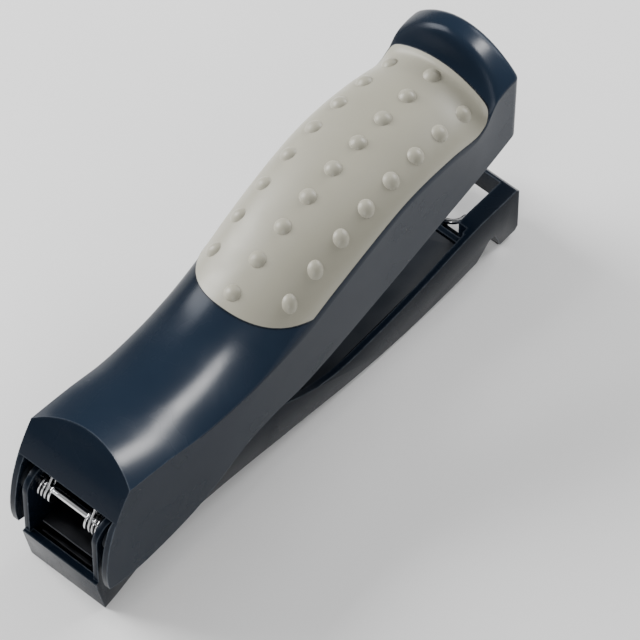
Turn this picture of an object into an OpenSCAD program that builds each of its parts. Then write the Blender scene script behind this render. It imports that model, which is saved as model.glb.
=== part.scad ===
// Stapler-shaped lever nail clipper: a long base arm and a hollow lever that
// turns on a chrome pin through the nose. Lengths run along Y from the nose
// tip (y = 0) to the tail, Z is up from the table, X is across. Every part is
// drawn in those nose coordinates and moved so that the origin is the middle
// of the footprint. The lever is drawn open, which is its rest position.

/* [Overall] */
// Overall length, nose to tail
length = 231; // [228:1:234]
// Moulded wall of the lever
wall = 2.6; // [2.2:0.1:3]
// Moulded wall of the base
base_wall = 2.6; // [2.2:0.1:3]

/* [Lever] */
// Half width of the lever along its lower edge
lever_half = 23.5; // [23:0.1:24]
// Thickness of the soft grip pad
pad_t = 2.8; // [2:0.1:3]
// Where the soft pad starts
pad_y0 = 89; // [87:1:92]
// Where the soft pad ends
pad_y1 = 207; // [205:1:208]
// Part of the roof's half width that the pad covers
pad_cover = 0.95; // [0.92:0.01:0.96]
// Height of the hood's straight lower edge
hood_low = 56.3; // [54:0.1:58]
// Thickness of the hood and tail plates
end_plate = 3; // [2:0.1:4]

/* [Hinge] */
// Distance of the hinge pin behind the nose
hinge_y = 9.5; // [9:0.1:10]
// Height of the hinge pin
hinge_z = 42; // [41:0.1:43]
// Radius of the hinge pin
pin_r = 1.5; // [1.3:0.1:1.7]
// Radius of the rounded hinge ears
ear_r = 8; // [7:0.1:8.5]
// Running clearance on a radius
running = 0.05; // [0.02:0.01:0.1]

/* [Jaws] */
// Half width of the jaw strips
jaw_half = 12; // [10:0.5:13]
// Thickness of the jaw strips
jaw_t = 2; // [1.6:0.1:2.2]
// Jaw pin position behind the nose
jaw_pin_y = 88; // [86:1:90]
// Jaw pin height
jaw_pin_z = 21.5; // [21:0.1:22]
// Radius of the jaw pin
jaw_pin_r = 2; // [1.8:0.1:2.2]
// Height of the underside of the lower jaw
jaw_floor = 14.4; // [14.4:0.1:14.8]

/* [Tail] */
// Radius of the lock loop's bow
loop_r = 7.6; // [7:0.1:8]
// Wire radius of the lock loop
loop_wire = 1.1; // [1:0.1:1.2]
// Lock loop pivot behind the nose
loop_y = 216; // [215:0.5:217]
// Lock loop pivot height
loop_z = 13.5; // [13:0.1:14]

/* [Hidden] */
$fn = 48;
eps = 0.01;

navy = [0.10, 0.13, 0.18];
dark = [0.07, 0.08, 0.10];
grip = [0.72, 0.71, 0.66];
chrome = [0.85, 0.86, 0.88];
steel = [0.30, 0.31, 0.33];
rubber = [0.09, 0.09, 0.09];
bronze = [0.72, 0.58, 0.32];

// Lever lines, each a list of [distance behind the nose, height].
lever_top = [[14, 78.2], [19.3, 76.7], [40, 73.6], [62, 73], [80, 76.5],
    [97, 83.5], [120, 94], [147, 101.5], [172, 104.5], [190, 104.7],
    [206, 103.8], [209, 106.5], [213.5, 115], [218, 116.8], [223, 116.2]];
lever_crease = [[14, 69], [33, 66.5], [50, 63.2], [66, 62.6], [80, 63.6],
    [105, 68.8], [120, 75.6], [137, 83.2], [155, 89.9], [168, 91.8],
    [184, 91], [198, 89], [204, 92], [210, 100.5], [216, 103], [223, 103]];
lever_bottom = [[0, 21], [10, 18.5], [22, 17.6], [45, 20], [60, 25],
    [73, 31], [90, 34.5], [104, 35.2], [120, 38.5], [134, 42.5],
    [159, 50], [181, 57], [207, 65], [223, 71]];
// Half width along the crease, and how square the roof's shoulders are.
lever_wide = [[14, 23.5], [50, 24], [80, 24.8], [105, 25.3], [138, 25.9],
    [170, 25.6], [200, 24.5], [223, 23.8]];
lever_square = [[14, 0], [80, 0.25], [110, 0.75], [190, 0.75], [212, 0.15],
    [223, 0.15]];
// Front edge of the skirts and hood: [height, distance behind the nose].
lever_front = [[18, 1.6], [24, 0.5], [30, 0.4], [36, 1], [45, 2.6], [56, 6.3],
    [64, 10.4], [70, 14.6], [79, 20.5]];
lever_end = 223;
// Stations nearer the nose than this follow the slanted front edge.
front_zone = 28;

// Base lines: underside behind the nose, top edge of the side walls, plan.
base_under = [[14, 4], [27, 9], [50, 11.5], [80, 10], [108, 7], [136, 3.2],
    [164, 1.6], [190, 2.4], [207, 4]];
base_top = [[24, 36], [40, 33], [80, 31], [98, 28], [112, 20.5], [128, 16.5],
    [147, 17], [164, 18.5], [181, 21], [199, 24.5], [210, 26]];
base_plan = [[0, 17.8], [5, 18.2], [24, 18.4], [70, 19.3], [100, 20],
    [222, 20.4], [228, 20.2]];
lip_top = 19;
lip_under = 4;
lip_y = 3.4;
lip_floor = [7, 3.8];
foot_h = 2;
tail_top = 26.4;
tail_wall = 2.6;
tail_round = 1.5;
tail_under = [[211, 8], [214, 11], [217, 11]];
tail_pad_y = 220.5;
tail_arch = 15;
pocket_half = 13;
pocket_y0 = 204.5;
pocket_floor = 8;
window_y0 = 217;
window_half = 10.5;
arch_half = 9.5;
rib_y = 202;
rib_top = 16.5;
rib_half = 17;
ledge_half = 3;
ledge_y0 = 206.5;
ledge_len = 4;
lug_r = 2.6;
lug_x = 9.6;
// Half width of a cutter that is wider than the whole tool, and its height.
clear_x = 30;
clear_z = 60;

front_pad = [[6, 0], [14, 0], [14, 4], [6, 0.8]];
front_pad_half = 13;
rear_pad = 8;
rear_pad_x = 11;
rear_pad_y = 221;

cover_half = 16.9;
cover_line = [[116, 13.8], [199, 19.8]];
cover_t = 1.8;
cover_screw_y = [126, 190];
cover_screw_len = 8;
post_r = 4;
post_hole_r = 1.3;
plate_hole_r = 1.7;

jaw_screw_y = [36, 68];
jaw_screw_len = 4;
jaw_end = 96;
lower_edge = [[13, jaw_floor + jaw_t], [5.4, 20.8], [4.2, 20.8], [4.2, 19.5], [12.4, jaw_floor]];
upper_edge = [[16, 27.4], [5, 25.9], [4.8, 25.4], [5.6, 25.2], [16, 25.4]];
upper_waist = [74, 79, 94];
jaw_ear_half = 9;
jaw_ear_t = 3;
// Outline of a jaw ear as [distance from the jaw pin, height].
jaw_ear = [[-6, 10], [6, 10], [4, jaw_pin_z], [2, jaw_pin_z + 3.4], [-2, jaw_pin_z + 3.4],
    [-4, jaw_pin_z]];
jaw_notch = 7;
jaw_pin_half = 13.5;
jaw_bush_t = 1;
jaw_spring_y = 52;
jaw_spring_r = 3.2;
jaw_spring_in = 2.4;
jaw_spring_h = 6.2;
hub_half = 8.6;
hub_r = 4;

hinge_pin_half = 20.6;
collar_x = 8.2;
collar_t = 0.9;
collar_r = 4.7;
collar_hub_r = 2.5;
spring_x = 9.95;
spring_len = 4.8;
spring_wire = 1;
spring_r = 4.2;
spring_leg = 14;
spring_leg_tilt = -110;
// Upper spring legs: start beside the pin as [behind, above], length, tilt.
spring_arm_at = [-1.3, 5.6];
spring_arm = 19;
spring_arm_tilt = -33.6;
bush_x0 = 18.55;
bush_x1 = 20.88;
bush_r = 5.8;

liner_line = [[124, 44.7], [220, 75]];
liner_t = 2;
liner_half = 20.6;
liner_skew = 0.6;
liner_screw_y = [136, 200];
liner_screw_len = 5;
presser_y = 26;
presser_z = 32.2;
presser_r = 5;
presser_half = 8;
presser_top = 70.4;
presser_slope = 0.6;
presser_screw_r = 1.35;
presser_screw_z = 54;
bumper_y = 176;
bumper_r = 4.5;
bumper_len = 9;

catch_plate = [[209, 70], [219.4, 73.2], [219.4, 74.6], [209, 71.2]];
catch_hook = [[218, 73], [219.4, 73.3], [219.4, 58], [216.6, 58], [216.6, 59.4], [218, 59.4]];
catch_plate_half = 6;
catch_hook_half = 4;
catch_screw = [3.5, 212.5, 68];
catch_screw_r = 1;
catch_head_r = 2;
catch_head_h = 2.4;
catch_screw_len = 7.4;
loop_arm = 11.8;

// Screw proportions: head radius and height, and the width of the drive cut.
head_r = 3.2;
head_h = 1.6;
drive_cut = 0.8;
gap = 0.05;

function mix(a, b, t) = a + (b - a) * t;
function seg(p, s, i = 0) =
    i >= len(p) - 2 || s < p[i + 1][0] ? i : seg(p, s, i + 1);
function slope(p, i) =
    let (a = max(i - 1, 0), b = min(i + 1, len(p) - 1))
    (p[b][1] - p[a][1]) / (p[b][0] - p[a][0]);
// Smooth curve through the points of p, a cubic between each pair.
function curve(p, s) =
    let (
        i = seg(p, s),
        w = p[i + 1][0] - p[i][0],
        t = min(max((s - p[i][0]) / w, 0), 1)
    )
    p[i][1] * (1 + 2 * t) * (1 - t) * (1 - t)
    + p[i + 1][1] * t * t * (3 - 2 * t)
    + w * t * (1 - t) * ((1 - t) * slope(p, i) - t * slope(p, i + 1));
function line(p, s) =
    mix(p[0][1], p[1][1], (s - p[0][0]) / (p[1][0] - p[0][0]));
function spread(a, b, n) = [for (i = [0:n]) mix(a, b, i / n)];

// Closed sheet between two grids of points of the same size.
module sheet(outer, inner) {
    r = len(outer);
    c = len(outer[0]);
    n = r * c;
    function at(i, j) = i * c + j;
    pts = concat([for (row = outer) each row], [for (row = inner) each row]);
    faces = concat(
        [for (i = [0:r - 2], j = [0:c - 2])
            each quad(at(i, j), at(i, j + 1), at(i + 1, j + 1), at(i + 1, j))],
        [for (i = [0:r - 2], j = [0:c - 2])
            each quad(n + at(i, j), n + at(i + 1, j), n + at(i + 1, j + 1), n + at(i, j + 1))],
        [for (j = [0:c - 2]) each quad(n + at(0, j), n + at(0, j + 1), at(0, j + 1), at(0, j))],
        [for (j = [0:c - 2])
            each quad(at(r - 1, j), at(r - 1, j + 1), n + at(r - 1, j + 1), n + at(r - 1, j))],
        [for (i = [0:r - 2]) each quad(at(i, 0), at(i + 1, 0), n + at(i + 1, 0), n + at(i, 0))],
        [for (i = [0:r - 2])
            each quad(at(i, c - 1), n + at(i, c - 1), n + at(i + 1, c - 1), at(i + 1, c - 1))]
    );
    polyhedron(pts, faces);
}
function quad(a, b, c, d) = [[a, b, c], [a, c, d]];

// Roof rise from crease (t = 1) to ridge (t = 0): an arc blended with a
// squarer super-ellipse by k.
function rise(t, k) =
    (1 - k) * (1 - t * t) + k * pow(max(1 - pow(abs(t), 2.5), 0), 0.4);
// One point of the lever's outer surface. q is [side, part, value]: part 0 is
// the skirt with value 0 at its lower edge and 1 at the crease, part 1 the
// roof with value t across it.
function skin_x(q, y) = let (w = curve(lever_wide, y))
    q[0] == 1 ? w * q[2] : q[1] * mix(lever_half, w, q[2]);
function skin_z(q, y) = let (c = curve(lever_crease, y))
    q[0] == 1 ? c + (curve(lever_top, y) - c) * rise(q[2], curve(lever_square, y))
              : mix(curve(lever_bottom, y), c, q[2]);
// Distance behind the nose of station s on the string q, which starts on
// the lever's curved front edge.
function skin_y(q, s) = s >= front_zone ? s :
    s + (1 - s / front_zone) * curve(lever_front, skin_z(q, q[0] == 1 ? 17 : 8));
// The outer point moved inwards by d, square to the skirt and towards the
// middle of the crease on the roof.
function skin(q, s, d = 0) =
    let (
        y = skin_y(q, s),
        x = skin_x(q, y),
        z = skin_z(q, y),
        c = q[0] == 1 ? curve(lever_crease, y) : z,
        r = norm([x, z - c]),
        k = (r - d) / r
    )
    [x * k, y, c + (z - c) * k];

skirt_steps = [0, 0.25, 0.5, 0.75, 0.95];
roof_edge = pad_cover + 0.004;
roof_steps = spread(-pad_cover, pad_cover, 16);
lever_cols = concat(
    [for (v = skirt_steps) [0, -1, v]],
    [[1, 0, -1], [1, 0, -roof_edge]],
    [for (t = roof_steps) [1, 0, t]],
    [[1, 0, roof_edge], [1, 0, 1]],
    [for (i = [len(skirt_steps) - 1:-1:0]) [0, 1, skirt_steps[i]]]
);
pad_rows = concat([pad_y0], spread(pad_y0 + 8, pad_y1 - 7, 11), [pad_y1]);
lever_rows = concat(
    [0, end_plate, end_plate + 0.1, 9, 18],
    spread(front_zone, pad_y0 - 10, 6), [pad_y0 - 0.1], pad_rows,
    [pad_y1 + 0.1, 209.5, 212, 214.5, 217, lever_end - end_plate - 0.1,
     lever_end - end_plate, lever_end]
);
function under_pad(q, s) =
    q[0] == 1 && abs(q[2]) <= pad_cover && s >= pad_y0 && s <= pad_y1;
function lever_out(q, s) = skin(q, s, under_pad(q, s) ? pad_t : 0);
// Inner surface: a wall behind the outer one, filled at the hood plate and
// at the tail plate down to their lower edges.
function lever_in(q, s) =
    let (
        p = skin(q, s, wall + (under_pad(q, s) ? pad_t : 0)),
        foot = curve(lever_bottom, p[1]),
        half = lever_half - wall
    )
    s <= end_plate ? hood_in(q, s, p[0], foot)
    : s >= lever_end - end_plate
        ? [q[0] == 1 ? q[2] * (half - 2) : q[1] * (half - 2 * q[2]), p[1], foot + 0.2]
    : p;
function hood_in(q, s, x, foot) =
    let (z = q[0] == 1 ? hood_low : mix(foot, hood_low, q[2]))
    [x, s + (1 - s / front_zone) * curve(lever_front, z), z];

module nose_frame() translate([0, -length / 2, 0]) children();
// Side outline (points of distance and height) as a slab from x = a to b.
module slab(pts, a, b) translate([a, 0, 0]) rotate([90, 0, 90])
    linear_extrude(b - a) polygon(pts);
module both_sides() {
    children();
    mirror([1, 0, 0]) children();
}
// Cylinder along X from x = a to b about a side position.
module axle(y, z, r, a, b) translate([a, y, z]) rotate([0, 90, 0])
    cylinder(r = r, h = b - a);
module post(y, r, z0, z1) translate([0, y, z0]) cylinder(r = r, h = z1 - z0);
// Screw with a domed, cross-cut head standing at z.
module screw(y, z, r, len) {
    post(y, r, z - len, z + eps);
    translate([0, y, z]) difference() {
        intersection() {
            cylinder(r = head_r, h = head_h);
            translate([0, 0, head_h - head_r * 2]) sphere(r = head_r * 2);
        }
        for (turn = [0, 90]) rotate([0, 0, turn])
            translate([-head_r * 0.6, -drive_cut / 2, head_h / 2])
                cube([head_r * 1.2, drive_cut, head_h]);
    }
}

under_run = [for (y = spread(14, 207, 18)) [y, curve(base_under, y)]];
top_run = [for (y = spread(210, 24, 20)) [y, curve(base_top, y)]];
base_side = concat(
    [[0, lip_top], [lip_under, 0]], under_run, tail_under,
    [[tail_pad_y, foot_h], [length - tail_round, foot_h],
     [length, foot_h + tail_round], [length, tail_top - tail_round],
     [length - tail_round, tail_top]],
    top_run,
    [[hinge_y + ear_r - 0.2, hinge_z], [hinge_y - ear_r, hinge_z],
     [hinge_y - ear_r, lip_top]]
);
floor_run = [for (y = spread(14, rib_y, 14)) [y, curve(base_under, y) + base_wall]];
channel_side = concat([[-5, clear_z], [-5, lip_top], [lip_y, lip_top], lip_floor], floor_run,
    [[rib_y, clear_z]]);
module plan(shrink, y0, y1) linear_extrude(70) polygon(concat(
    [for (y = spread(y0, y1, 24)) [curve(base_plan, y) - shrink, y]],
    [for (y = spread(y1, y0, 24)) [shrink - curve(base_plan, y), y]]
));

// The base's outer block with its nose ears, before it is hollowed.
module base_block() intersection() {
    union() {
        slab(base_side, -clear_x, clear_x);
        axle(hinge_y, hinge_z, ear_r, -clear_x, clear_x);
    }
    plan(0, 0, length);
}
// The channel, the tail pocket, the hanging window and the tail arch.
module base_hollows() {
    intersection() {
        slab(channel_side, -clear_x, clear_x);
        translate([0, 0, 1]) plan(base_wall, -5, length);
    }
    slab([[rib_y - eps, rib_top], [pocket_y0 + eps, rib_top],
          [pocket_y0 + eps, clear_z], [rib_y - eps, clear_z]], -rib_half, rib_half);
    translate([-pocket_half, pocket_y0, pocket_floor])
        cube([2 * pocket_half, length - tail_wall - pocket_y0, clear_z]);
    translate([-window_half, window_y0, -1])
        cube([2 * window_half, length - tail_wall - window_y0, clear_z]);
    translate([-arch_half, length - 2 * tail_wall, -1])
        cube([2 * arch_half, 4 * tail_wall, tail_arch + 1]);
}
// Screw posts, jaw ears, loop lugs and the ledge that the raised loop rests on.
module base_fittings() {
    for (y = cover_screw_y)
        post(y, post_r, curve(base_under, y) + 1, line(cover_line, y - post_r) - cover_t);
    for (y = jaw_screw_y) post(y, post_r, curve(base_under, y) + 1, jaw_floor);
    both_sides() slab([for (p = jaw_ear) [jaw_pin_y + p[0], p[1]]],
        jaw_ear_half, jaw_ear_half + jaw_ear_t);
    both_sides() axle(loop_y, loop_z, lug_r, lug_x, pocket_half + 1);
    translate([-ledge_half, ledge_y0, pocket_floor - 1])
        cube([2 * ledge_half, ledge_len, loop_z - loop_wire - pocket_floor + 0.9]);
}
module base_shell() nose_frame() color(navy) difference() {
    union() {
        difference() {
            base_block();
            base_hollows();
        }
        base_fittings();
    }
    axle(hinge_y, hinge_z, pin_r, -clear_x, clear_x);
    axle(jaw_pin_y, jaw_pin_z, jaw_pin_r, -jaw_pin_half - 1, jaw_pin_half + 1);
    both_sides() axle(loop_y, loop_z, loop_wire + running, lug_x - 1, loop_arm + 0.2);
    for (y = cover_screw_y)
        post(y, post_hole_r, line(cover_line, y) - cover_screw_len, clear_z);
    for (y = jaw_screw_y) post(y, post_hole_r, jaw_floor + jaw_t - jaw_screw_len, clear_z);
}

module channel_cover() nose_frame() color(dark) difference() {
    slab([for (p = cover_line) [p[0], p[1] - cover_t], cover_line[1], cover_line[0]],
         -cover_half, cover_half);
    for (y = cover_screw_y) post(y, plate_hole_r, 0, clear_z);
}
module cover_screws() nose_frame() color(steel)
    for (y = cover_screw_y) screw(y, line(cover_line, y + head_r) + gap, post_hole_r, cover_screw_len);
module front_foot() nose_frame() color(rubber)
    slab(front_pad, -front_pad_half, front_pad_half);
module rear_foot() nose_frame() color(rubber)
    both_sides() translate([rear_pad_x, rear_pad_y, 0]) cube([rear_pad, rear_pad, foot_h]);

module lower_jaw() nose_frame() color(steel) difference() {
    slab(concat([[jaw_end, jaw_floor], [jaw_end, jaw_floor + jaw_t]], lower_edge),
         -jaw_half, jaw_half);
    for (y = jaw_screw_y) post(y, plate_hole_r, 0, clear_z);
    both_sides() translate([jaw_ear_half - 0.2, jaw_pin_y - jaw_notch, 0])
        cube([jaw_half, 20, clear_z]);
}
module jaw_screws() nose_frame() color(chrome)
    for (y = jaw_screw_y) screw(y, jaw_floor + jaw_t, post_hole_r, jaw_screw_len);
module jaw_pin() nose_frame() color(chrome)
    axle(jaw_pin_y, jaw_pin_z, jaw_pin_r, -jaw_pin_half, jaw_pin_half);
module jaw_spring() nose_frame() color(chrome) translate([0, jaw_spring_y, jaw_floor + jaw_t])
    difference() {
        cylinder(r = jaw_spring_r, h = jaw_spring_h);
        translate([0, 0, -1]) cylinder(r = jaw_spring_in, h = jaw_spring_h + 2);
    }
module hinge_pin() nose_frame() color(chrome)
    axle(hinge_y, hinge_z, pin_r, -hinge_pin_half, hinge_pin_half);
module pin_collars() nose_frame() color(chrome) both_sides() difference() {
    union() {
        axle(hinge_y, hinge_z, collar_r, collar_x, collar_x + collar_t);
        axle(hinge_y, hinge_z, collar_hub_r, collar_x + collar_t / 2, spring_x - gap);
    }
    axle(hinge_y, hinge_z, pin_r, 0, clear_x);
}
module return_springs() nose_frame() color(chrome) both_sides() {
    difference() {
        axle(hinge_y, hinge_z, spring_r + spring_wire / 2, spring_x, spring_x + spring_len);
        axle(hinge_y, hinge_z, spring_r - spring_wire / 2, 0, clear_x);
    }
    translate([spring_x + spring_len - 0.6, hinge_y, hinge_z - spring_r])
        rotate([spring_leg_tilt, 0, 0]) cylinder(r = spring_wire / 2, h = spring_leg);
}

module lever_shell() nose_frame() color(navy) sheet(
    [for (s = lever_rows) [for (q = lever_cols) lever_out(q, s)]],
    [for (s = lever_rows) [for (q = lever_cols) lever_in(q, s)]]);
module grip_pad() nose_frame() color(grip) sheet(
    [for (s = pad_rows) [for (t = roof_steps) skin([1, 0, t], s)]],
    [for (s = pad_rows) [for (t = roof_steps) skin([1, 0, t], s, pad_t)]]);
module lever_liner() nose_frame() color(dark) difference() {
    slab(concat(liner_line, [for (i = [1, 0])
        [liner_line[i][0] - liner_skew, liner_line[i][1] + liner_t]]), -liner_half, liner_half);
    for (y = liner_screw_y) post(y, plate_hole_r, 0, 2 * clear_z);
    for (x = [-1, 1]) translate([x * catch_screw[0], catch_screw[1], 0])
        cylinder(r = catch_screw_r + gap, h = 2 * clear_z);
}
// Screws standing up into the lever from below, heads under the liner.
module liner_screws() nose_frame() color(steel)
    for (y = liner_screw_y) translate([0, 0, line(liner_line, y - head_r) - gap])
        mirror([0, 0, 1]) screw(y, 0, plate_hole_r - gap, liner_screw_len);
module presser_block() nose_frame() color(dark) difference() {
    union() {
        axle(presser_y, presser_z, presser_r, -presser_half, presser_half);
        slab([[presser_y - presser_r, presser_z], [presser_y + presser_r, presser_z],
              [presser_y + presser_r, presser_top - presser_slope],
              [presser_y - presser_r, presser_top]], -presser_half, presser_half);
    }
    post(presser_y, presser_screw_r + gap, presser_screw_z - 4, 2 * clear_z);
}
module presser_screw() nose_frame() color(steel)
    post(presser_y, presser_screw_r, presser_screw_z, presser_top + 0.4);
module hinge_bushes() nose_frame() color(dark) both_sides() difference() {
    axle(hinge_y, hinge_z, bush_r, bush_x0, bush_x1);
    axle(hinge_y, hinge_z, pin_r + running, 0, clear_x);
}
module spring_arms() nose_frame() color(chrome) both_sides()
    translate([spring_x + spring_wire / 2, hinge_y + spring_arm_at[0], hinge_z + spring_arm_at[1]])
        rotate([spring_arm_tilt, 0, 0]) cylinder(r = spring_wire / 2, h = spring_arm);
module stop_bumper() nose_frame() color(rubber)
    post(bumper_y, bumper_r, line(liner_line, bumper_y) - bumper_len,
         line(liner_line, bumper_y - bumper_r) - gap);
module lock_catch() nose_frame() color(steel) difference() {
    union() {
        slab(catch_plate, -catch_plate_half, catch_plate_half);
        slab(catch_hook, -catch_hook_half, catch_hook_half);
    }
    for (x = [-1, 1]) translate([x * catch_screw[0], catch_screw[1], clear_z])
        cylinder(r = catch_screw_r + gap, h = 20);
}
module catch_screws() nose_frame() color(steel)
    for (x = [-1, 1]) translate([x * catch_screw[0], catch_screw[1], catch_screw[2]]) {
        cylinder(r = catch_head_r, h = catch_head_h);
        cylinder(r = catch_screw_r, h = catch_screw_len);
    }

module upper_jaw() nose_frame() color(steel) difference() {
    intersection() {
        union() {
            slab(concat([[jaw_pin_y, jaw_pin_z - jaw_t / 2], [jaw_pin_y, jaw_pin_z + jaw_t / 2]],
                        upper_edge), -jaw_half, jaw_half);
            axle(jaw_pin_y, jaw_pin_z, hub_r, -hub_half, hub_half);
        }
        linear_extrude(clear_z) polygon([[-jaw_half, 0], [jaw_half, 0],
            [jaw_half, upper_waist[0]], [hub_half, upper_waist[1]], [hub_half, upper_waist[2]],
            [-hub_half, upper_waist[2]], [-hub_half, upper_waist[1]], [-jaw_half, upper_waist[0]]]);
    }
    axle(jaw_pin_y, jaw_pin_z, jaw_pin_r + jaw_bush_t, -clear_x, clear_x);
}
module jaw_bush() nose_frame() color(bronze) difference() {
    axle(jaw_pin_y, jaw_pin_z, jaw_pin_r + jaw_bush_t, -hub_half, hub_half);
    axle(jaw_pin_y, jaw_pin_z, jaw_pin_r + running, -clear_x, clear_x);
}

module lock_loop() nose_frame() color(chrome) translate([0, loop_y, loop_z]) {
    rotate([0, 0, 180]) rotate_extrude(angle = 180) translate([loop_r, 0]) circle(r = loop_wire);
    both_sides() axle(0, 0, loop_wire, loop_r - loop_wire, loop_arm);
}

base_shell();
channel_cover();
cover_screws();
front_foot();
rear_foot();
lower_jaw();
jaw_screws();
jaw_pin();
jaw_spring();
hinge_pin();
pin_collars();
return_springs();
lever_shell();
grip_pad();
lever_liner();
liner_screws();
presser_block();
presser_screw();
hinge_bushes();
spring_arms();
stop_bumper();
lock_catch();
catch_screws();
upper_jaw();
jaw_bush();
lock_loop();
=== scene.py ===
# %% [markdown]
# # A lever nail clipper
# The object is shaped like a long stapler. A base arm lies on the table, and a
# hollow lever sits over it and turns on a chrome pin through the nose. The
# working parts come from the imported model, which fixes every size and place.
# This lesson gives them their looks: it remakes the moulded skins with soft
# edges, puts the studded grip on the lever, winds the springs, and finishes
# each surface with its own material.
#
# Sizes are in millimetres and measured from the nose tip along the tool, as a
# maker would with a ruler. One function turns them into metres in the frame.

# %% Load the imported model
import math
import bpy
import bmesh
import mathutils
import numpy as np
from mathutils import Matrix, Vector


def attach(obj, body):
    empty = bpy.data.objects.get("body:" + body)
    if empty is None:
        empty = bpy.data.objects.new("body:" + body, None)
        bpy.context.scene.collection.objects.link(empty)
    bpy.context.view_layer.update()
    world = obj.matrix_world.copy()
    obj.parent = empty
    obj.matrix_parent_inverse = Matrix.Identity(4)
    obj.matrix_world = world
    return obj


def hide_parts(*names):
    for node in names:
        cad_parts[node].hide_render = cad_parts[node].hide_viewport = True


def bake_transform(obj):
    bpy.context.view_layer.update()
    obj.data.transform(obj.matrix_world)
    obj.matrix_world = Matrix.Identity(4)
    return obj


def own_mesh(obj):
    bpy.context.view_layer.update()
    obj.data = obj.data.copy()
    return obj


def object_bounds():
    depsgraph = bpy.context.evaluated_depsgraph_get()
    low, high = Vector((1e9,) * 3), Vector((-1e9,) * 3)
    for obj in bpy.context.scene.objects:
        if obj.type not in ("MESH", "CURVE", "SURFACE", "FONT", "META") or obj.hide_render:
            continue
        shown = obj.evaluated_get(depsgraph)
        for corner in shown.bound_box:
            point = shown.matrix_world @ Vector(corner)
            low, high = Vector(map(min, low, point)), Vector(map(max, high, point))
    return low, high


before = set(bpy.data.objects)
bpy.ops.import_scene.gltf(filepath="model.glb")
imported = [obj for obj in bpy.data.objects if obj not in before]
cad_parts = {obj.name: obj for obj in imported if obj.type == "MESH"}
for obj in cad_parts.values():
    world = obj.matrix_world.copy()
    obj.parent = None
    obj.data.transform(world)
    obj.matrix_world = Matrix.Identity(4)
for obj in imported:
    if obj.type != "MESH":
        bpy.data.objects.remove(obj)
cad_box = [list(corner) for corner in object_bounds()]
MM = 0.001
UP = np.array([0, 0, 1.0])
ACROSS = np.array([1.0, 0, 0])
nose_y = cad_box[0][1]
print("size in mm:", [round((b - a) / MM, 1) for a, b in zip(*cad_box)])

# %% [markdown]
# ## Two small tools for shapes
# A long moulding is easiest to describe by a few lines seen from the side:
# the ridge, the crease and the lower edge. Each line is a short list of
# points. A cubic through them gives a smooth value at any distance, and numpy
# works it out for a whole grid at once, so no loop visits single vertices.

# %% Smooth lines through a few points
def curve(points, s):
    """Height of a smooth line at distance s. On each span the two end heights
    and end slopes are blended by the Hermite cubics; the slope at a point is
    that of the chord between its neighbours."""
    p = np.asarray(points, float)
    s = np.asarray(s, float)
    i = np.clip(np.searchsorted(p[:, 0], s, side="right") - 1, 0, len(p) - 2)
    order = np.arange(len(p))
    before = np.maximum(order - 1, 0)
    after = np.minimum(order + 1, len(p) - 1)
    slope = (p[after, 1] - p[before, 1]) / (p[after, 0] - p[before, 0])
    span = p[i + 1, 0] - p[i, 0]
    t = np.clip((s - p[i, 0]) / span, 0, 1)
    ends = p[i, 1] * (1 + 2 * t) * (1 - t) ** 2 + p[i + 1, 1] * t * t * (3 - 2 * t)
    return ends + span * t * (1 - t) * ((1 - t) * slope[i] - t * slope[i + 1])


def mix(a, b, t):
    """Straight blend from a (t = 0) to b (t = 1)."""
    return a + (b - a) * t


def spaced(a, b, step):
    """Evenly spaced values from a to b, no further apart than step."""
    return np.linspace(a, b, int(math.ceil(abs(b - a) / step)) + 1)


# %% Turning grids of points into pieces
def in_frame(points):
    """Millimetres from the nose tip to metres in the frame."""
    return np.asarray(points, float).reshape(-1, 3) * MM + (0, nose_y, 0)


def grid_faces(rows, cols, start=0, ring=False):
    """Quads between neighbouring points of a rows by cols grid. With ring, the
    last column joins the first."""
    i, j = np.meshgrid(np.arange(rows - 1), np.arange(cols if ring else cols - 1), indexing="ij")
    k = (j + 1) % cols
    quads = np.stack([i * cols + j, i * cols + k, (i + 1) * cols + k, (i + 1) * cols + j], -1)
    return quads.reshape(-1, 4) + start


def piece(name, grids, body, material, merge=True, outward=None):
    """One object from (points, faces) pairs. Doubles are merged, the normals
    are made to agree, and outward(mesh) may say that they point the wrong way.
    A piece without a body is left unattached."""
    points, faces, count = [], [], 0
    for p, f in grids:
        points.append(in_frame(p))
        faces += [tuple(int(v) + count for v in face) for face in f]
        count += len(points[-1])
    mesh = bpy.data.meshes.new(name)
    mesh.from_pydata(np.concatenate(points).tolist(), [], faces)
    bm = bmesh.new()
    bm.from_mesh(mesh)
    if merge:
        bmesh.ops.remove_doubles(bm, verts=bm.verts, dist=0.005 * MM)
        bmesh.ops.recalc_face_normals(bm, faces=bm.faces)
    if outward and not outward(bm):
        bmesh.ops.reverse_faces(bm, faces=bm.faces)
    bm.to_mesh(mesh)
    bm.free()
    mesh.polygons.foreach_set("use_smooth", np.ones(len(mesh.polygons), bool))
    mesh.materials.append(material)
    obj = bpy.data.objects.new(name, mesh)
    bpy.context.scene.collection.objects.link(obj)
    if body:
        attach(obj, body)
    return obj


def soften(obj, width, segments=3, angle=30):
    """Rounds the sharp edges of a piece and keeps its flats looking flat."""
    bevel = obj.modifiers.new("soft edges", "BEVEL")
    bevel.width = width * MM
    bevel.segments = segments
    bevel.limit_method = "ANGLE"
    bevel.angle_limit = math.radians(angle)
    bevel.harden_normals = True
    return obj
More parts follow.
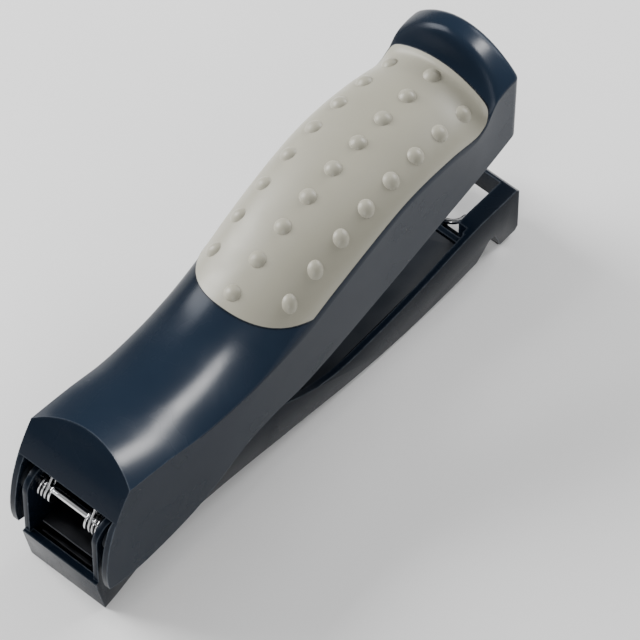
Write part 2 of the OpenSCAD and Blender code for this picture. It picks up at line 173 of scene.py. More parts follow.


# %% [markdown]
# ## Finishes
# Moulded plastic is never one flat colour. It has a fine spark-eroded grain,
# a faint mottle where the melt flowed and smears where hands have polished it.
# Its edges are painted lighter too: partly wear from handling, partly a painted
# highlight where the rounded edges catch the light. Several finishes share
# those effects, so each effect is a node group that is built once and placed
# with its own values. A group gives out only masks, heights and values; every
# material keeps its own Principled shader.

# %% A short way to write shader nodes
def add(tree, kind, inputs=None, **settings):
    """A node with its settings; an input is a value or another node's output."""
    made = tree.nodes.new(kind)
    for key, value in settings.items():
        setattr(made, key, value)
    for key, value in (inputs or {}).items():
        if isinstance(value, bpy.types.NodeSocket):
            tree.links.new(value, made.inputs[key])
        else:
            made.inputs[key].default_value = value
    return made


def shared_effect(name, inputs, outputs):
    """An empty node group with float inputs (name: default) and float outputs,
    and a Vector input for the place on the piece."""
    group = bpy.data.node_groups.new(name, "ShaderNodeTree")
    group.interface.new_socket("Vector", in_out="INPUT", socket_type="NodeSocketVector")
    for key, value in inputs.items():
        socket = group.interface.new_socket(key, in_out="INPUT", socket_type="NodeSocketFloat")
        socket.default_value = value
    for key in outputs:
        group.interface.new_socket(key, in_out="OUTPUT", socket_type="NodeSocketFloat")
    return group, group.nodes.new("NodeGroupInput"), group.nodes.new("NodeGroupOutput")


# %% The effects that several finishes share
def make_grain():
    """Height: fine noise of the given scale. Mottle: slow noise, a fortieth of it."""
    group, given, out = shared_effect("moulding grain", {"Scale": 2500.0}, ["Height", "Mottle"])
    fine = add(group, "ShaderNodeTexNoise", {"Vector": given.outputs["Vector"],
               "Scale": given.outputs["Scale"], "Detail": 2.0, "Roughness": 0.55})
    wide = add(group, "ShaderNodeMath", {0: given.outputs["Scale"], 1: 40.0}, operation="DIVIDE")
    slow = add(group, "ShaderNodeTexNoise", {"Vector": given.outputs["Vector"],
               "Scale": wide.outputs[0], "Detail": 3.0})
    group.links.new(fine.outputs["Fac"], out.inputs["Height"])
    group.links.new(slow.outputs["Fac"], out.inputs["Mottle"])
    return group


def make_handling():
    """Value: roughness between Low and High, in soft smears a few millimetres
    long that are broken up by a finer noise."""
    group, given, out = shared_effect("handling smears", {"Scale": 60.0, "Low": 0.3, "High": 0.45},
                                      ["Value"])
    smear = add(group, "ShaderNodeTexNoise", {"Vector": given.outputs["Vector"],
                "Scale": given.outputs["Scale"], "Detail": 2.5, "Roughness": 0.5,
                "Distortion": 0.3})
    spread = add(group, "ShaderNodeMapRange", {"Value": smear.outputs["Fac"], "From Min": 0.35,
                 "From Max": 0.68, "To Min": given.outputs["Low"], "To Max": given.outputs["High"]},
                 interpolation_type="SMOOTHERSTEP")
    group.links.new(spread.outputs["Result"], out.inputs["Value"])
    return group


def make_worn_and_highlighted():
    """Mask: where the surface turns within Reach of the point and points
    outwards, broken by noise. The turn is how far the normal, rounded over
    Reach, leans from the plain one. A lighter colour laid through it is partly
    edge wear and partly a painted highlight on the rounded edges."""
    group, given, out = shared_effect("rubbed edges", {"Reach": 1.0 * MM}, ["Mask"])
    shape = add(group, "ShaderNodeNewGeometry")
    rounded = add(group, "ShaderNodeBevel", {"Radius": given.outputs["Reach"]}, samples=4)
    agree = add(group, "ShaderNodeVectorMath", {0: rounded.outputs["Normal"],
                1: shape.outputs["Normal"]}, operation="DOT_PRODUCT")
    turn = add(group, "ShaderNodeMapRange", {"Value": agree.outputs["Value"],
               "From Min": 0.995, "From Max": 0.90})
    outward = add(group, "ShaderNodeMapRange", {"Value": shape.outputs["Pointiness"],
                  "From Min": 0.50, "From Max": 0.54})
    chips = add(group, "ShaderNodeTexNoise", {"Vector": given.outputs["Vector"], "Scale": 400.0,
                "Detail": 3.0})
    edge = add(group, "ShaderNodeMath", {0: turn.outputs["Result"],
               1: outward.outputs["Result"]}, operation="MULTIPLY")
    wear_and_highlight_mask = add(group, "ShaderNodeMath", {0: edge.outputs[0], 1: chips.outputs["Fac"]},
               operation="MULTIPLY")
    group.links.new(wear_and_highlight_mask.outputs[0], out.inputs["Mask"])
    return group


def make_brushing():
    """Value: long thin streaks across the piece, for drawn or brushed metal."""
    group, given, out = shared_effect("brushing", {"Scale": 900.0}, ["Value"])
    thin = add(group, "ShaderNodeVectorMath", {0: given.outputs["Vector"], 1: (0.04, 1.0, 1.0)},
               operation="MULTIPLY")
    streak = add(group, "ShaderNodeTexNoise", {"Vector": thin.outputs[0],
                 "Scale": given.outputs["Scale"], "Detail": 3.0})
    group.links.new(streak.outputs["Fac"], out.inputs["Value"])
    return group


grain = make_grain()
handling = make_handling()
worn_and_highlighted = make_worn_and_highlighted()
brushing = make_brushing()
print("shared effects:", [g.name for g in bpy.data.node_groups])


# %% Plastics and rubbers
def finish(name):
    """A new node material with its Principled shader and Object coordinates."""
    material = bpy.data.materials.new(name)
    material.use_nodes = True
    tree = material.node_tree
    shader = tree.nodes["Principled BSDF"]
    place = add(tree, "ShaderNodeTexCoord").outputs["Object"]
    return material, tree, shader, place


def effect(tree, group, place, **values):
    """One of the shared effects, placed in a material with its own values."""
    made = add(tree, "ShaderNodeGroup", node_tree=group)
    tree.links.new(place, made.inputs["Vector"])
    for key, value in values.items():
        made.inputs[key].default_value = value
    return made


def tinted(tree, factor, dark, light):
    """Colour between two tones by a factor."""
    made = add(tree, "ShaderNodeMix", data_type="RGBA")
    made.inputs[6].default_value = (*dark, 1)
    made.inputs[7].default_value = (*light, 1)
    tree.links.new(factor, made.inputs[0])
    return made.outputs[2]


def moulded(name, dark, light, low, high, grain_scale=2200.0, depth=0.03, edge=None,
            ior=1.5, tint=(1, 1, 1)):
    """Moulded plastic or rubber: mottled colour, grain bump, handled roughness
    and, where edge is a colour, lighter edges that are partly wear and partly
    painted highlight."""
    material, tree, shader, place = finish(name)
    skin = effect(tree, grain, place, Scale=grain_scale)
    colour = tinted(tree, skin.outputs["Mottle"], dark, light)
    # Lighter edges: partly wear, partly a painted highlight where the rounded edges catch the
    # light.
    if edge:
        wear_and_highlight_mask = effect(tree, worn_and_highlighted, place)
        wear_and_highlight_tint = add(tree, "ShaderNodeMix", data_type="RGBA")
        tree.links.new(wear_and_highlight_mask.outputs["Mask"], wear_and_highlight_tint.inputs[0])
        tree.links.new(colour, wear_and_highlight_tint.inputs[6])
        wear_and_highlight_tint.inputs[7].default_value = (*edge, 1)
        colour = wear_and_highlight_tint.outputs[2]
    tree.links.new(colour, shader.inputs["Base Color"])
    smears = effect(tree, handling, place, Low=low, High=high)
    tree.links.new(smears.outputs["Value"], shader.inputs["Roughness"])
    bump = add(tree, "ShaderNodeBump", {"Height": skin.outputs["Height"], "Strength": 0.5,
               "Distance": depth * MM})
    tree.links.new(bump.outputs["Normal"], shader.inputs["Normal"])
    shader.inputs["IOR"].default_value = ior
    shader.inputs["Specular Tint"].default_value = (*tint, 1)
    return material


# The edge colour, many times lighter than the navy, paints the thin highlight along the rounded
# edges as well as some wear.
navy_plastic = moulded("satin_navy_plastic", (0.0026, 0.0050, 0.0098), (0.0038, 0.0068, 0.0125),
                       0.23, 0.28, depth=0.006, edge=(0.090, 0.105, 0.125), ior=1.21,
                       tint=(0.88, 0.92, 1.0))
dark_plastic = moulded("matt_dark_plastic", (0.0030, 0.0050, 0.0090), (0.0050, 0.0080, 0.0130),
                       0.45, 0.6, depth=0.05, ior=1.35)
foot_rubber = moulded("foot_rubber", (0.010, 0.010, 0.010), (0.022, 0.022, 0.021), 0.7, 0.9,
                      grain_scale=1500.0, depth=0.08)


# %% Metals
def metal(name, dark, light, low, high, streaks=900.0, depth=0.004):
    """Metal with brushed streaks in its tone, smeared roughness and a very
    shallow bump along the streaks."""
    material, tree, shader, place = finish(name)
    lines = effect(tree, brushing, place, Scale=streaks)
    tree.links.new(tinted(tree, lines.outputs["Value"], dark, light), shader.inputs["Base Color"])
    smears = effect(tree, handling, place, Scale=150.0, Low=low, High=high)
    tree.links.new(smears.outputs["Value"], shader.inputs["Roughness"])
    bump = add(tree, "ShaderNodeBump", {"Height": lines.outputs["Value"], "Strength": 0.4,
               "Distance": depth * MM})
    tree.links.new(bump.outputs["Normal"], shader.inputs["Normal"])
    shader.inputs["Metallic"].default_value = 1.0
    return material


chrome = metal("polished_chrome", (0.72, 0.73, 0.75), (0.86, 0.87, 0.88), 0.05, 0.14)
spring_wire = metal("spring_wire", (0.45, 0.45, 0.46), (0.66, 0.66, 0.67), 0.14, 0.26)
zinc = metal("zinc_plate", (0.42, 0.43, 0.46), (0.62, 0.63, 0.65), 0.25, 0.4)
black_steel = metal("black_oxide_steel", (0.030, 0.032, 0.038), (0.055, 0.057, 0.063), 0.3, 0.45)
bronze = metal("bronze_bush", (0.42, 0.26, 0.12), (0.62, 0.42, 0.22), 0.3, 0.45)
print("finishes:", [m.name for m in bpy.data.materials])


# %% [markdown]
# ## The lever shell
# The real shell is one injection moulding: two flat skirts, an arched roof
# that swells under the palm, a slanted hood over the nose and a raised lip at
# the tail. Box modelling would take many fiddly loops, so the skin is written
# as a function of two numbers instead: s runs along the tool and v across it,
# from -2 and 2 at the lower edges through -1 and 1 at the creases to 0 on the
# ridge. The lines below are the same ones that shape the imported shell.

# %% The lines that shape the lever
ridge_line = [[14, 78.2], [19.3, 76.7], [40, 73.6], [62, 73], [80, 76.5], [97, 83.5],
              [120, 94], [147, 101.5], [172, 104.5], [190, 104.7], [206, 103.8],
              [209, 106.5], [213.5, 115], [218, 116.8], [223, 116.2]]
crease_line = [[14, 69], [33, 66.5], [50, 63.2], [66, 62.6], [80, 63.6], [105, 68.8],
               [120, 75.6], [137, 83.2], [155, 89.9], [168, 91.8], [184, 91], [198, 89],
               [204, 92], [210, 100.5], [216, 103], [223, 103]]
skirt_line = [[0, 21], [10, 18.5], [22, 17.6], [45, 20], [60, 25], [73, 31], [90, 34.5],
              [104, 35.2], [120, 38.5], [134, 42.5], [159, 50], [181, 57], [207, 65],
              [223, 71]]
half_width = [[14, 23.5], [50, 24], [80, 24.8], [105, 25.3], [138, 25.9], [170, 25.6],
              [200, 24.5], [223, 23.8]]
shoulder = [[14, 0], [80, 0.25], [110, 0.75], [190, 0.75], [212, 0.15], [223, 0.15]]
front_line = [[18, 1.6], [24, 0.5], [30, 0.4], [36, 1], [45, 2.6], [56, 6.3], [64, 10.4],
              [70, 14.6], [79, 20.5]]
lever_end = 223
front_zone = 28
skirt_half = 23.5
front_roof_y = 17
front_skirt_y = 8
hood_low = 56.3
side_low = 21
wall = 2.6
lip_round = 2.4
lip_drop = 0.14


# %% The skin as a function of v and s
def arch(t, k):
    """Rise from crease (t = 1 or -1) to ridge (t = 0): a parabola, blended by
    k with a squarer super-ellipse of power 2.5."""
    return (1 - k) * (1 - t * t) + k * np.maximum(1 - np.abs(t) ** 2.5, 0) ** 0.4


def section(v, y):
    """Across position and height of the skin in the cross-section at y. On the
    roof (|v| < 1) x is the half width times v and z follows the arch; on the
    skirts both run straight from the crease to the lower edge. Over the last
    lip_round millimetres the section shrinks along a quarter circle, which
    rounds the lip's rim."""
    t = np.clip(v, -1, 1)
    down = np.clip(np.abs(v) - 1, 0, 1)
    w, c = curve(half_width, y), curve(crease_line, y)
    rise = (curve(ridge_line, y) - c) * arch(t, curve(shoulder, y))
    turn = np.clip((y - (lever_end - lip_round)) / lip_round, 0, 1)
    kept = 1 - lip_drop * (1 - np.sqrt(1 - turn * turn))
    x = np.where(down > 0, np.sign(v) * mix(w, skirt_half, down), w * t)
    z = np.where(down > 0, mix(c, curve(skirt_line, y), down), c + rise * kept)
    return x * (1 + kept) / 2, z


def skin(v, s):
    """Point of the lever's skin. Near the nose every string starts on the
    slanted front line, so y is s plus the front line's share of the rest. The
    string's own height there is read at front_roof_y on the roof and at
    front_skirt_y further down."""
    v, s = np.broadcast_arrays(np.asarray(v, float), np.asarray(s, float))
    below = np.clip(3 * (np.abs(v) - 1), 0, 1)
    start = curve(front_line, section(v, mix(front_roof_y, front_skirt_y, below))[1])
    y = np.where(s < front_zone, s + (1 - s / front_zone) * start, s)
    x, z = section(v, y)
    return np.stack([x, y, z], -1)


def skin_normal(v, s):
    """Outward direction, from the cross product of two short steps."""
    step = 1e-3
    across = skin(v + step, s) - skin(v - step, s)
    along = skin(v, s + step) - skin(v, s - step)
    n = np.cross(across, along)
    return n / np.linalg.norm(n, axis=-1, keepdims=True)


# %% [markdown]
# The shell is first a single layer: the skin, a hood plate across the front
# and a tail plate across the back, which share their edge points. Solidify
# then gives it the wall of the moulding, and Bevel rounds every sharp edge.
# That is how a tool maker thinks too: an outer surface, a wall and radii.

# %% Build the lever shell
hood_top = curve(crease_line, front_skirt_y)
hood_share = (hood_top - hood_low) / (hood_top - side_low)
hood_steps = 12
below_hood = spaced(hood_share, 1, 0.08)
down_steps = 1 + np.concatenate([np.linspace(0, hood_share, hood_steps + 1), below_hood[1:]])
crowd = 0.5 * math.pi * 0.93
across_roof = np.sin(np.linspace(-1, 1, 57) * crowd) / math.sin(crowd)
strings = np.concatenate([-down_steps[:0:-1], across_roof, down_steps[1:]])
lip_start, lip_top, rim_start = 198, 217, 220
rim_share = np.sin(np.linspace(0, 1, 8)[1:] * np.pi / 2)
stations = np.concatenate([spaced(0, front_zone, 1.6), spaced(front_zone, lip_start, 2.0)[1:],
                           spaced(lip_start, lip_top, 0.9)[1:],
                           spaced(lip_top, rim_start, 1.5)[1:],
                           lever_end - (lever_end - rim_start) * (1 - rim_share)])
print("skin grid:", len(stations), "by", len(strings))


def plate(edge_s, downs):
    """A plate that closes one end of the skin. Row by row it goes down as far
    as the skirts' edge points at the values downs, and the arch's heights
    shrink towards the last row, which is straight."""
    arch_edge = skin(across_roof, edge_s)
    side = skin(downs, edge_s)
    share = ((side[:, 2] - side[0, 2]) / (side[-1, 2] - side[0, 2]))[:, None]
    x = across_roof * side[:, :1]
    z = mix(arch_edge[:, 2], side[-1, 2], share)
    return arch_edge, side, x, z


def on_edges(grid, arch_edge, side):
    """The grid with its first row set on the arch's edge and its first and
    last columns on the skirts' edges, so that the seams merge."""
    grid[0] = arch_edge
    grid[:, 0] = side * (-1, 1, 1)
    grid[:, -1] = side
    return grid


def hood_plate():
    """Hood face: each point lies on the front line at its own height, leaning
    by t squared towards where the skirts' edges really are."""
    arch_edge, side, x, z = plate(0, down_steps[:hood_steps + 1])
    lean = side[:, 1] - curve(front_line, side[:, 2])
    y = curve(front_line, z) + lean[:, None] * across_roof ** 2
    return on_edges(np.stack([x, y, z], -1), arch_edge, side)


def tail_plate():
    """Tail face: flat, at the lever's end."""
    arch_edge, side, x, z = plate(lever_end, down_steps)
    return on_edges(np.stack([x, np.full(z.shape, float(lever_end)), z], -1), arch_edge, side)


def faces_up(bm):
    """True if the ridge's faces look upwards."""
    return max(bm.faces, key=lambda f: f.calc_center_median().z).normal.z > 0


def build_lever():
    """The shell from its three grids, with its wall and its radii."""
    grids = [skin(strings[None, :], stations[:, None]), hood_plate(), tail_plate()]
    shell = piece("lever_shell_skin", [(g, grid_faces(*g.shape[:2])) for g in grids],
                  "lever", navy_plastic, outward=faces_up)
    solid = shell.modifiers.new("wall", "SOLIDIFY")
    solid.thickness = wall * MM
    solid.offset = -1
    soften(shell, 0.45)
    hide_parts("lever_shell")
    return shell


lever_shell = build_lever()
print("lever shell:", len(lever_shell.data.polygons), "faces before its wall")

# %% [markdown]
# ## The soft grip
# The pale saddle on the lever is a second material moulded into a shallow
# recess: soft rubber with three rows of domed studs that keep a wet hand from
# slipping. A real mould cuts both in one cavity, so pad and studs are one
# piece here too. The outline is wide at the tail and ends in a rounded tongue
# at the front, so the grid's rows are squeezed between a front and a rear
# line rather than trimmed. It is solid rubber with a fixed shape, so it isn't
# declared as padding.

# %% The pad's outline and the shape of one stud
pad_front = 88.2
pad_rear = 208.4
pad_tongue = 26
pad_half = 0.985
pad_proud = 0.6
pad_thin = 0.25
pad_sunk = 2.0
stud_r = 3.25
stud_h = 1.75
stud_sunk = 0.8
stud_v = 0.705
ridge_first, ridge_step = 94, 13.5
side_first, side_step = 104.2, 13.55


def pad_stations(v, share):
    """s on the pad: share 0 is the front edge, a super-ellipse of power 2.2
    that runs back by pad_tongue at the sides; share 1 is the rear edge, which
    is nearly straight with rounded corners."""
    a = np.abs(v)
    front = pad_front + pad_tongue * (1 - (1 - a ** 2.2) ** (1 / 2.2))
    rear = pad_rear - a ** 2 - 4 * a ** 30
    return mix(front, rear, share)


def pad_height(v):
    """How proud of the shell the pad stands: pad_proud less pad_thin at the
    sides, where a power of 8 keeps the change close to the edge."""
    return pad_proud - pad_thin * np.abs(v) ** 8


def raised(v, s, h):
    """The skin's point moved outward by h millimetres."""
    return skin(v, s) + skin_normal(v, s) * np.asarray(h)[..., None]


# %% Build the pad with its studs
pad_grid = (150, 97)


def pad_layer(h):
    """A whole layer of the pad, h millimetres above the skin at each v."""
    a = np.sin(np.linspace(-1, 1, pad_grid[1]) * math.asin(pad_half))
    v = np.broadcast_to(a, pad_grid)
    s = pad_stations(v, np.linspace(0, 1, pad_grid[0])[:, None])
    return raised(v, s, np.broadcast_to(h(a), pad_grid))


def outline(layer):
    """The points along a layer's four edges, once round."""
    edges = [layer[0], layer[:, -1], layer[-1, ::-1], layer[::-1, 0]]
    return np.concatenate([edge[:-1] for edge in edges])


def pad_grids():
    """Top, underside and the rim between them, as grids that share edges."""
    top, under = pad_layer(pad_height), pad_layer(lambda v: np.full(v.shape, -pad_sunk))
    rim = np.stack([outline(top), outline(under)])
    return [(g, grid_faces(*pad_grid)) for g in (top, under)] + [
        (rim, grid_faces(*rim.shape[:2], ring=True))]


def stud_grid(v0, s0):
    """A closed dome on the pad. Polar rings in the skin's own coordinates keep
    it round and let it follow the curved pad. Its height falls from the middle
    as h (1 - u^2)^0.8, a little fuller than a parabola."""
    u = np.concatenate([[0], np.sin(np.linspace(0.12, 1, 9) * np.pi / 2), [1, 0]])[:, None]
    turn = np.linspace(0, 2 * np.pi, 28, endpoint=False)
    step = 0.01
    across = np.linalg.norm(skin(v0 + step, s0) - skin(v0 - step, s0)) / (2 * step)
    along = np.linalg.norm(skin(v0, s0 + step) - skin(v0, s0 - step)) / (2 * step)
    v = v0 + stud_r * u * np.cos(turn) / across
    s = s0 + stud_r * u * np.sin(turn) / along
    h = stud_h * np.maximum(1 - u ** 2, 0) ** 0.8
    h[-2:] = -stud_sunk
    grid = raised(v, s, np.broadcast_to(h, v.shape) + pad_height(v))
    return grid, grid_faces(*v.shape, ring=True)


def build_pad():
    """Pad, 9 studs on the ridge and 8 down each side, as one moulding."""
    studs = [(0, ridge_first + ridge_step * i) for i in range(9)]
    studs += [(side * stud_v, side_first + side_step * i) for side in (-1, 1) for i in range(8)]
    pad = piece("grip_saddle", pad_grids() + [stud_grid(*where) for where in studs],
                "lever", soft_grip)
    soften(pad, 0.5, angle=60)
    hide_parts("grip_pad")
    print("studs:", len(studs))
    return pad


# The lighter edge colour of the grip is partly wear, partly a painted highlight on its rounded rim.
soft_grip = moulded("soft_grip_rubber", (0.320, 0.306, 0.242), (0.370, 0.355, 0.285), 0.36, 0.46,
                    grain_scale=1800.0, depth=0.05, edge=(0.46, 0.44, 0.37))
grip_shader = soft_grip.node_tree.nodes["Principled BSDF"]
grip_shader.inputs["Sheen Weight"].default_value = 0.12
grip_shader.inputs["Sheen Roughness"].default_value = 0.5
grip_saddle = build_pad()
print("grip:", len(grip_saddle.data.polygons), "faces")

# %% [markdown]
# ## The plain mouldings and the steel
# The base, the two liners, the jaws and the feet have flat sides and simple
# outlines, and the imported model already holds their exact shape. What it lacks
# is a radius: every real edge is rounded by the mould or by tumbling. A copy
# of each mesh gets its triangles joined into flats and a small bevel, and the
# copy stands in for the original.

# %% Copies with soft edges
def softened_copy(node, body, material, width, angle=25):
    """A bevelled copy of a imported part. Joining coplanar triangles first keeps
    the bevel off the diagonals."""
    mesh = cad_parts[node].data.copy()
    bm = bmesh.new()
    bm.from_mesh(mesh)
    bmesh.ops.remove_doubles(bm, verts=bm.verts, dist=0.002 * MM)
    bmesh.ops.dissolve_limit(bm, angle_limit=math.radians(0.6), verts=bm.verts, edges=bm.edges)
    bmesh.ops.recalc_face_normals(bm, faces=bm.faces)
    bm.to_mesh(mesh)
    bm.free()
    mesh.name = node + "_soft"
    mesh.materials.clear()
    mesh.materials.append(material)
    mesh.polygons.foreach_set("use_smooth", np.ones(len(mesh.polygons), bool))
    obj = bpy.data.objects.new(node + "_soft", mesh)
    bpy.context.scene.collection.objects.link(obj)
    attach(obj, body)
    soften(obj, width, angle=angle)
    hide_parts(node)
    return obj


for node, body, slot, material, width in [
        ("base_shell", "base", "navy_plastic", navy_plastic, 0.6),
        ("channel_cover", "base", "dark_plastic", dark_plastic, 0.3),
        ("front_foot", "base", "foot_rubber", foot_rubber, 0.4),
        ("rear_foot", "base", "foot_rubber", foot_rubber, 0.4),
        ("lower_jaw", "base", "black_steel", black_steel, 0.15),
        ("upper_jaw", "jaw", "black_steel", black_steel, 0.15),
        ("lever_liner", "lever", "dark_plastic", dark_plastic, 0.3),
        ("presser_block", "lever", "dark_plastic", dark_plastic, 0.4),
        ("stop_bumper", "lever", "foot_rubber", foot_rubber, 0.6),
        ("lock_catch", "lever", "black_steel", black_steel, 0.2)]:
    made = softened_copy(node, body, material, width)
    print(made.name, len(made.data.polygons), "flats")

# %% [markdown]
# ## Rim, springs, pin and loop
# Wire parts are one round section swept along a line, so one function makes
# them all. It also draws the thin raised rim of the shell that frames the grip
# and keeps the soft edge from peeling. The torsion springs that hold the lever
# open sit outside the chrome collars: a coil round the pin with one leg in the
# base and one under the hood. The leg must turn with the lever while the coil
# stays, so the spring is left attached to neither body.

# %% Sweep a round wire along a path
def tube(path, radius, beside, sides=12):
    """A wire along a path of points. Each ring stands across the path, turned
    by a direction that never runs along it; the last rings close the ends."""
    path = np.asarray(path, float)
    along = np.gradient(path, axis=0)
    along /= np.linalg.norm(along, axis=1, keepdims=True)
    one = np.cross(along, beside)
    one /= np.linalg.norm(one, axis=1, keepdims=True)
    two = np.cross(along, one)
    turn = np.linspace(0, 2 * np.pi, sides, endpoint=False)[None, :, None]
    ring = np.cos(turn) * one[:, None] + np.sin(turn) * two[:, None]
    size = np.full(len(path), float(radius))
    grid = path[:, None] + ring * size[:, None, None]
    grid = np.concatenate([np.broadcast_to(path[0], grid[:1].shape), grid,
                           np.broadcast_to(path[-1], grid[:1].shape)])
    return grid, grid_faces(len(grid), sides, ring=True)


def lathed(profile, y, z, sides=48):
    """A turned part on an axis across the tool at (y, z), from (x, radius)
    points; it closes at both ends."""
    x, r = np.asarray(profile, float).T[:, :, None]
    turn = np.linspace(0, 2 * np.pi, sides, endpoint=False)
    grid = np.stack([np.broadcast_to(x, (len(x), sides)), y + r * np.cos(turn),
                     z + r * np.sin(turn)], -1)
    return grid, grid_faces(len(grid), sides, ring=True)


def rounded_rod(a, b, r, edge):
    """Profile of a rod from x = a to b with quarter-round ends."""
    bend = np.linspace(0, np.pi / 2, 5)
    first = np.stack([a + edge - edge * np.cos(bend), r - edge + edge * np.sin(bend)], 1)
    last = np.stack([b - edge + edge * np.cos(bend), r - edge + edge * np.sin(bend)], 1)
    return np.concatenate([[[a, 0]], first, last[::-1], [[b, 0]]])


# %% The shell's thin rim round the grip
rim_r = 0.4
rim_rise = 0.1
rim_path = outline(pad_layer(lambda v: np.full(v.shape, rim_rise)))
rim_path = np.concatenate([rim_path, rim_path[:1]])
grip_rim = piece("grip_rim", [tube(rim_path, rim_r, UP, 8)], "lever",
                 navy_plastic)
print("rim round the grip:", len(grip_rim.data.polygons), "faces")

# %% The hinge pin, its collars and the jaw pin
hinge_y, hinge_z = 9.5, 42
jaw_pin_y, jaw_pin_z = 88, 21.5
hinge_rod = lathed(rounded_rod(-20.6, 20.6, 1.5, 0.35), hinge_y, hinge_z)
hinge_pin = piece("hinge_pin_turned", [hinge_rod], "base", chrome)
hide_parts("hinge_pin")
jaw_rod = lathed(rounded_rod(-13.5, 13.5, 2, 0.4), jaw_pin_y, jaw_pin_z)
jaw_pin = piece("jaw_pin_turned", [jaw_rod], "base", chrome)
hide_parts("jaw_pin")


def collar(side):
    """A thin disc with a hub behind it, bored for the pin."""
    inner, step, outer, bore_r, hub_r = 8.2, 9.1, 9.9, 1.51, 2.5
    disc = rounded_rod(inner, step, 4.7, 0.3)[1:-1]
    hub = [[step, hub_r], [outer, hub_r], [outer, bore_r], [inner, bore_r]]
    profile = np.concatenate([[[inner, bore_r]], disc, hub])
    return lathed(profile * (side, 1), hinge_y, hinge_z)


collars = piece("collars_turned", [collar(-1), collar(1)], "base", chrome)
soften(collars, 0.1)
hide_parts("pin_collars")


# %% The torsion springs
def torsion_spring(side):
    """Path: lower leg, just over two turns from the outside in, upper leg."""
    r, pitch, turns = 4.2, 1.6, 2.343
    start = -np.pi / 2
    angle = start - np.linspace(0, 2 * np.pi * turns, 150)
    x = 14.2 - pitch * (start - angle) / (2 * np.pi)
    coil = np.stack([x, hinge_y + r * np.cos(angle), hinge_z + r * np.sin(angle)], 1)
    low = coil[0] + np.linspace(1, 0, 12)[:-1, None] * np.array([[0, 13.15, -4.8]])
    up = coil[-1] + np.linspace(0, 1, 18)[1:, None] * np.array([[0, 12.6, 19]])
    path = np.concatenate([low, coil, up]) * (side, 1, 1)
    return tube(path, 0.5, ACROSS)


springs = piece("torsion_springs", [torsion_spring(-1), torsion_spring(1)], None,
                spring_wire)
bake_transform(springs)
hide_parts("return_springs", "spring_arms")

# %% The jaw spring and the lock loop
coil_y, coil_foot, coil_r, coil_wire = 52, 16.4, 2.8, 0.4
coil_turn = np.linspace(0, 2 * np.pi * 5, 160)
coil_path = np.stack([coil_r * np.cos(coil_turn), coil_y + coil_r * np.sin(coil_turn),
                      np.linspace(coil_foot + coil_wire, 22.2, len(coil_turn))], 1)
jaw_coil = piece("jaw_coil", [tube(coil_path, coil_wire, UP)], "base",
                 spring_wire)
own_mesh(jaw_coil)
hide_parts("jaw_spring")
print("jaw coil:", len(coil_path), "points; springs:", len(springs.data.polygons), "faces")

loop_y, loop_z, loop_wire = 216, 13.5, 1.1
bow = np.linspace(0, np.pi, 48)
loop_path = np.concatenate([
    [[-11.8, 0], [-10.4, 0], [-9.0, 0], [-8.2, -0.25], [-7.75, -0.8]],
    np.stack([-7.6 * np.cos(bow), -1.6 - 6 * np.sin(bow)], 1),
    [[7.75, -0.8], [8.2, -0.25], [9.0, 0], [10.4, 0], [11.8, 0]]])
loop_path = np.column_stack([loop_path[:, 0], loop_y + loop_path[:, 1],
                             np.full(len(loop_path), float(loop_z))])
loop = piece("lock_loop_bent", [tube(loop_path, loop_wire, UP, 16)], "loop",
             chrome)
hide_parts("lock_loop")
print("lock loop:", len(loop_path), "points")

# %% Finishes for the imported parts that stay
for names, material in [
        (("cover_screws", "jaw_screws", "liner_screws", "presser_screw", "catch_screws"), zinc),
        (("hinge_bushes",), dark_plastic), (("jaw_bush",), bronze)]:
    for name in names:
        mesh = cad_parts[name].data
        mesh.materials.clear()
        mesh.materials.append(material)

# %% [markdown]
# ## Floor, light and camera
# The tool lies on a pale seamless sheet. The light is soft and comes from
# above, with one long panel whose reflection runs down the shell as a streak.
# That panel would wash out the pale grip and the floor, so it is linked to the
# shell alone. The lens is long, so the tool looks almost drawn in parallel.

# %% Floor and background
floor_mesh = bpy.data.meshes.new("floor")
edge = 4
floor_mesh.from_pydata([(-edge, -edge, 0), (edge, -edge, 0), (edge, edge, 0), (-edge, edge, 0)],
                       [], [(0, 1, 2, 3)])
floor = bpy.data.objects.new("floor", floor_mesh)
bpy.context.scene.collection.objects.link(floor)
floor_sheet, tree, shader, place = finish("white_sheet")
paper = effect(tree, grain, place, Scale=600.0)
tree.links.new(tinted(tree, paper.outputs["Mottle"], (0.88, 0.88, 0.88), (0.92, 0.92, 0.92)),
               shader.inputs["Base Color"])
shader.inputs["Roughness"].default_value = 0.9
floor_mesh.materials.append(floor_sheet)

world = bpy.data.worlds.new("studio")
world.use_nodes = True
sky = world.node_tree.nodes["Background"]
sky.inputs["Color"].default_value = (1, 1, 1, 1)
sky.inputs["Strength"].default_value = 0.36
bpy.context.scene.world = world
print("floor:", 2 * edge, "m square")


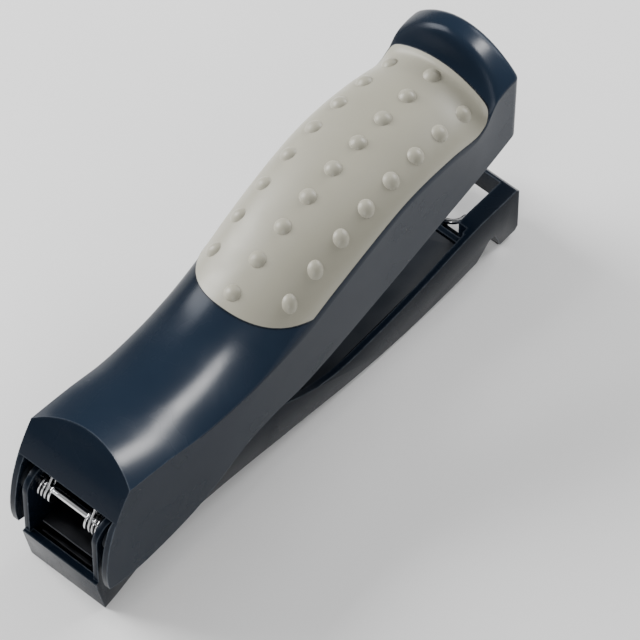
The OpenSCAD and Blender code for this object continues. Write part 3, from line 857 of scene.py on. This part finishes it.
# %% Soft lights
def panel(name, place, aim, size, power):
    """A soft rectangular light at a place, turned to face a point. Its second
    side runs as nearly along the tool as the tilt allows."""
    lamp = bpy.data.lights.new(name, "AREA")
    lamp.shape = "RECTANGLE"
    lamp.size, lamp.size_y = size
    lamp.energy = power
    obj = bpy.data.objects.new(name, lamp)
    bpy.context.scene.collection.objects.link(obj)
    start, end = (mathutils.Vector(in_frame(p)[0]) for p in (place, aim))
    facing = (start - end).normalized()
    length = (mathutils.Vector((0, 1, 0)) - facing * facing.y).normalized()
    turn = mathutils.Matrix((length.cross(facing), length, facing)).transposed()
    obj.matrix_world = mathutils.Matrix.Translation(start) @ turn.to_4x4()
    return obj


strip = panel("strip", (310, 440, 960), (15, 50, 70), (0.19, 0.84), 52)
strip.data.color = (1, 0.95, 0.88)
lights = [strip,
          panel("key", (-1000, -250, 700), (0, 120, 50), (0.7, 0.7), 26),
          panel("back", (150, 1200, 700), (0, 120, 60), (0.8, 0.5), 15),
          panel("side", (550, -750, 420), (0, 40, 30), (0.35, 0.35), 3)]
lit_by_strip = bpy.data.collections.new("lit by strip")
lit_by_strip.objects.link(lever_shell)
strip.light_linking.receiver_collection = lit_by_strip
print("lights:", [lamp.name for lamp in lights])

# %% Camera
camera = bpy.data.cameras.new("camera")
camera.lens = 308
camera.sensor_width = 36
camera.clip_end = 10
eye = bpy.data.objects.new("camera", camera)
bpy.context.scene.collection.objects.link(eye)
azimuth, elevation, roll = (math.radians(a) for a in (41.05, 54.0, 0.23))
distance = 1.982
aim = mathutils.Vector(in_frame([13.1, 126.2, 44.7])[0])
back = mathutils.Vector((math.sin(azimuth) * math.cos(elevation),
                         -math.cos(azimuth) * math.cos(elevation), math.sin(elevation)))
eye.location = aim + back * distance
turned = (-back).to_track_quat("-Z", "Y")
eye.rotation_mode = "QUATERNION"
eye.rotation_quaternion = turned @ mathutils.Quaternion((0, 0, 1), roll)
bpy.context.scene.camera = eye
print("camera:", round(distance / MM), "mm from its aim")
